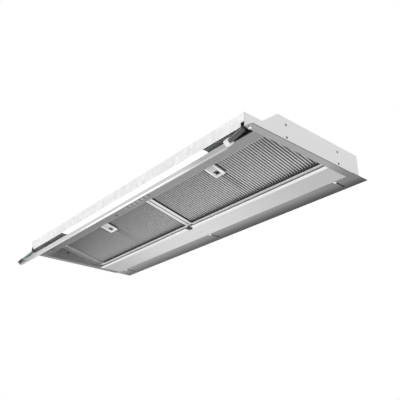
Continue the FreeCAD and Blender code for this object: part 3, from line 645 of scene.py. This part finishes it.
def corner_pads():
    """Pale moulded corners of the filters beside the centre clip, each with a dark catch."""
    for side, sign in (("left", -1), ("right", 1)):
        half = filter_frame_of(side)[1]
        matrix = filter_matrix(side)
        inner = -sign * (half / MM)
        a, b = sorted((inner + sign * 0.3, inner + sign * 9.2))
        blocks("corner_pad_" + side, [((a, -9.2, -0.5), (b, -2.6, 0.1))], FINISH["grey_plastic"],
               "filter_" + side, matrix, 0.0002)
        a, b = sorted((inner + sign * 2.5, inner + sign * 7.0))
        blocks("corner_catch_" + side, [((a, -7.6, -0.8), (b, -4.6, -0.4))], FINISH["black_plastic"],
               "filter_" + side, matrix, 0.0001)


def hole_plugs():
    """Dark painted plugs in the fixing holes of the side walls."""
    bm = bmesh.new()
    for side in (-1, 1):
        outline = [(0.0, 0.0), (3.6, 0.0), (3.6, 0.5), (2.9, 1.0), (2.2, 1.1), (1.7, 0.7), (0.0, 0.7)]
        turned = [(radius * MM, -side * height * MM) for radius, height in outline]
        for y, z in WALL_HOLES:
            add_turned(bm, turned, (side * WALL_X, y, z), axis="X", steps=24)
    piece("hole_plugs", mesh_from("hole_plugs", bm), FINISH["arm_steel"], "housing")


slot_shade_pads()
corner_pads()
hole_plugs()


# ---- upper side details -----------------------------------------------------------------
def motor_box_faces():
    """Left and right side, front and rear wall and top of the motor box, in metres."""
    low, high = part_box("motor_box")
    return low.x + BOX_FOOT, high.x - BOX_FOOT, high.y - BOX_DEPTH, high.y, high.z


def ribs(name, lines, width, height, up):
    """Pressed ribs on one sheet, as one piece."""
    bm = bmesh.new()
    for start, end in lines:
        add_pressed_rib(bm, Vector(start) * MM, Vector(end) * MM, width * MM, height * MM, up)
    mesh = mesh_from(name, bm, math.radians(60))
    return piece(name, mesh, FINISH["galvanised_sheet"], "housing")


def box_ribs():
    """Stiffening ribs pressed into the motor box and the deck."""
    left, right, front, _, top = (face / MM for face in motor_box_faces())
    ribs("box_front_ribs", [((x, front, 84), (x, front, 132)) for x in (-215, -143, -72, 0, 72, 143, 215)],
         16.0, 2.2, (0, -1, 0))
    ribs("box_right_ribs", [((right, y, 84), (right, y, 132)) for y in (10, 70, 130)], 16.0, 2.2, (1, 0, 0))
    ribs("box_left_ribs", [((left, y, 84), (left, y, 132)) for y in (10, 70, 130)], 16.0, 2.2, (-1, 0, 0))
    top_lines = [((side * 110, y, top), (side * 235, y, top)) for side in (-1, 1) for y in (0, 70, 140)]
    ribs("box_top_ribs", top_lines, 14.0, 1.8, (0, 0, 1))
    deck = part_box("top_deck")[1].z / MM
    deck_lines = [((side * 290, y, deck), (side * 415, y, deck)) for side in (-1, 1) for y in (-30, 45, 120)]
    ribs("deck_ribs", deck_lines, 14.0, 1.8, (0, 0, 1))


def hexagon_heads():
    """Flanged hexagon heads in place of the plain screw heads on the box's foot."""
    left, right, front, rear, _ = motor_box_faces()
    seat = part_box("box_screws")[0].z
    spots = [(x * MM, front - 0.005) for x in (-220.0, -75.0, 75.0, 220.0)]
    spots += [(edge, rear - reach) for edge in (left - 0.005, right + 0.005) for reach in (0.028, 0.163)]
    flange = [(0.0, 0.0), (3.9, 0.0), (3.9, 0.5), (3.0, 0.8), (0.0, 0.8)]
    hexagon = [(0.0, 0.7), (2.9, 0.7), (2.9, 2.0), (2.5, 2.4), (1.5, 2.4), (1.1, 1.9), (0.0, 1.9)]
    bm = bmesh.new()
    for x, y in spots:
        for outline, steps in ((flange, 32), (hexagon, 6)):
            turned = [(radius * MM, height * MM) for radius, height in outline]
            add_turned(bm, turned, (x, y, seat), steps=steps)
    mesh = mesh_from("box_screw_heads", bm)
    heads = piece("box_screw_heads", mesh, FINISH["polished_steel"], "housing")
    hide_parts("box_screws")


def corner_rivets():
    """Rows of blind rivets up the corners of the motor box and along its top seam."""
    left, right, front, _, top = motor_box_faces()
    bm = bmesh.new()
    outline = [(0.0, -0.2), (2.3, -0.2), (2.2, 0.5), (1.4, 1.1), (0.7, 1.2), (0.5, 0.8), (0.0, 0.8)]
    dome = [(radius * MM, height * MM) for radius, height in outline]
    flipped = [(radius, -height) for radius, height in dome]
    for z in (0.078, 0.096, 0.114, 0.132):
        for x in (left + 0.009, right - 0.009):
            add_turned(bm, flipped, (x, front, z), axis="Y", steps=20)
    for x in range(-240, 241, 60):
        if abs(x) > 90:
            add_turned(bm, dome, (x * MM, front + 0.007, top), steps=20)
    mesh = mesh_from("corner_rivets", bm)
    piece("corner_rivets", mesh, FINISH["polished_steel"], "housing")


def collar_beads():
    """Two rolled beads around the duct collar."""
    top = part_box("duct_collar")[1].z
    low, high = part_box("damper_pin")
    middle = (low + high) / 2.0
    bead = [(-0.2, -1.3), (0.4, -1.2), (0.9, -0.7), (1.1, 0.0), (0.9, 0.7), (0.4, 1.2), (-0.2, 1.3)]
    bead.append(bead[0])
    turned = [(COLLAR_R + out * MM, height * MM) for out, height in bead]
    bm = bmesh.new()
    for z in (top - 0.006, top - 0.026):
        add_turned(bm, turned, (middle.x, middle.y, z), steps=72)
    piece("collar_beads", mesh_from("collar_beads", bm), FINISH["black_plastic"], "housing")


def terminal_lid():
    """A raised lid with moulded ribs on the terminal box."""
    low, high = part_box("terminal_box")
    low, high = low / MM, high / MM
    lid = [((low.x + 1.2, low.y + 1.2, high.z - 0.4), (high.x - 1.2, high.y - 1.2, high.z + 1.4))]
    count = max(2, int((high.x - low.x - 16) / 7))
    for k in range(count):
        x = low.x + 8.0 + k * (high.x - low.x - 16.0) / (count - 1)
        lid.append(((x - 1.0, low.y + 8.0, high.z + 1.0), (x + 1.0, high.y - 8.0, high.z + 2.0)))
    blocks("terminal_lid", lid, FINISH["black_plastic"], "housing", round_by=0.0004)


box_ribs()
hexagon_heads()
corner_rivets()
collar_beads()
terminal_lid()


# ---- floor, lights, camera --------------------------------------------------------------
def studio():
    """Pale floor, white surroundings, three soft disk lights and the camera."""
    floor_mesh = bpy.data.meshes.new("floor")
    signs = ((-1, -1), (1, -1), (1, 1), (-1, 1))
    corners = [(x * FLOOR_REACH, y * FLOOR_REACH, FLOOR_Z) for x, y in signs]
    floor_mesh.from_pydata(corners, [], [(0, 1, 2, 3)])
    s = Shading("pale_floor", roughness=0.7, Emission_Strength=0.25, Emission_Color=(1.0, 1.0, 1.0, 1.0))
    s.base(s.mix(s.span(s.noise(3.0, 4.0), 0.3, 0.7), 0.80, 0.84))
    floor_mesh.materials.append(s.material)
    floor = bpy.data.objects.new("floor", floor_mesh)
    bpy.context.scene.collection.objects.link(floor)

    world = bpy.data.worlds.new("studio")
    bpy.context.scene.world = world
    world.use_nodes = True
    tree = world.node_tree
    tree.nodes.clear()
    out = tree.nodes.new("ShaderNodeOutputWorld")
    seen = tree.nodes.new("ShaderNodeBackground")
    lit = tree.nodes.new("ShaderNodeBackground")
    seen.inputs["Color"].default_value = (1.0, 1.0, 1.0, 1.0)
    lit.inputs["Color"].default_value = (1.0, 1.0, 1.0, 1.0)
    lit.inputs["Strength"].default_value = 0.7
    path = tree.nodes.new("ShaderNodeLightPath")
    clear = tree.nodes.new("ShaderNodeMath")
    clear.operation = "MAXIMUM"
    tree.links.new(path.outputs["Is Camera Ray"], clear.inputs[0])
    tree.links.new(path.outputs["Is Transmission Ray"], clear.inputs[1])
    blend = tree.nodes.new("ShaderNodeMixShader")
    tree.links.new(clear.outputs[0], blend.inputs[0])
    tree.links.new(lit.outputs[0], blend.inputs[1])
    tree.links.new(seen.outputs[0], blend.inputs[2])
    tree.links.new(blend.outputs[0], out.inputs["Surface"])

    for name, place, aim, size, power in (
        ("key", (-1.6, -1.6, -1.2), (0.0, 0.0, 0.0), 1.6, 18.0),
        ("fill", (1.8, 0.6, -1.0), (0.1, 0.0, 0.0), 1.2, 8.0),
        ("top", (0.6, -1.0, 1.9), (0.0, 0.0, 0.1), 1.8, 22.0),
    ):
        light = bpy.data.lights.new(name, "AREA")
        light.shape = "DISK"
        light.size = size
        light.energy = power
        lamp = bpy.data.objects.new(name, light)
        lamp.location = place
        lamp.rotation_euler = (Vector(aim) - Vector(place)).to_track_quat("-Z", "Y").to_euler()
        bpy.context.scene.collection.objects.link(lamp)

    camera_data = bpy.data.cameras.new("camera")
    camera_data.lens = CAMERA_LENS
    camera_data.sensor_width = 36.0
    camera_data.clip_start = 0.02
    camera = bpy.data.objects.new("camera", camera_data)
    camera.location = CAMERA_AT
    camera.rotation_euler = (math.radians(90.0 + CAMERA_PITCH), 0.0, math.radians(CAMERA_HEADING))
    bpy.context.scene.collection.objects.link(camera)
    bpy.context.scene.camera = camera
    bpy.context.scene.view_settings.view_transform = "Standard"


studio()
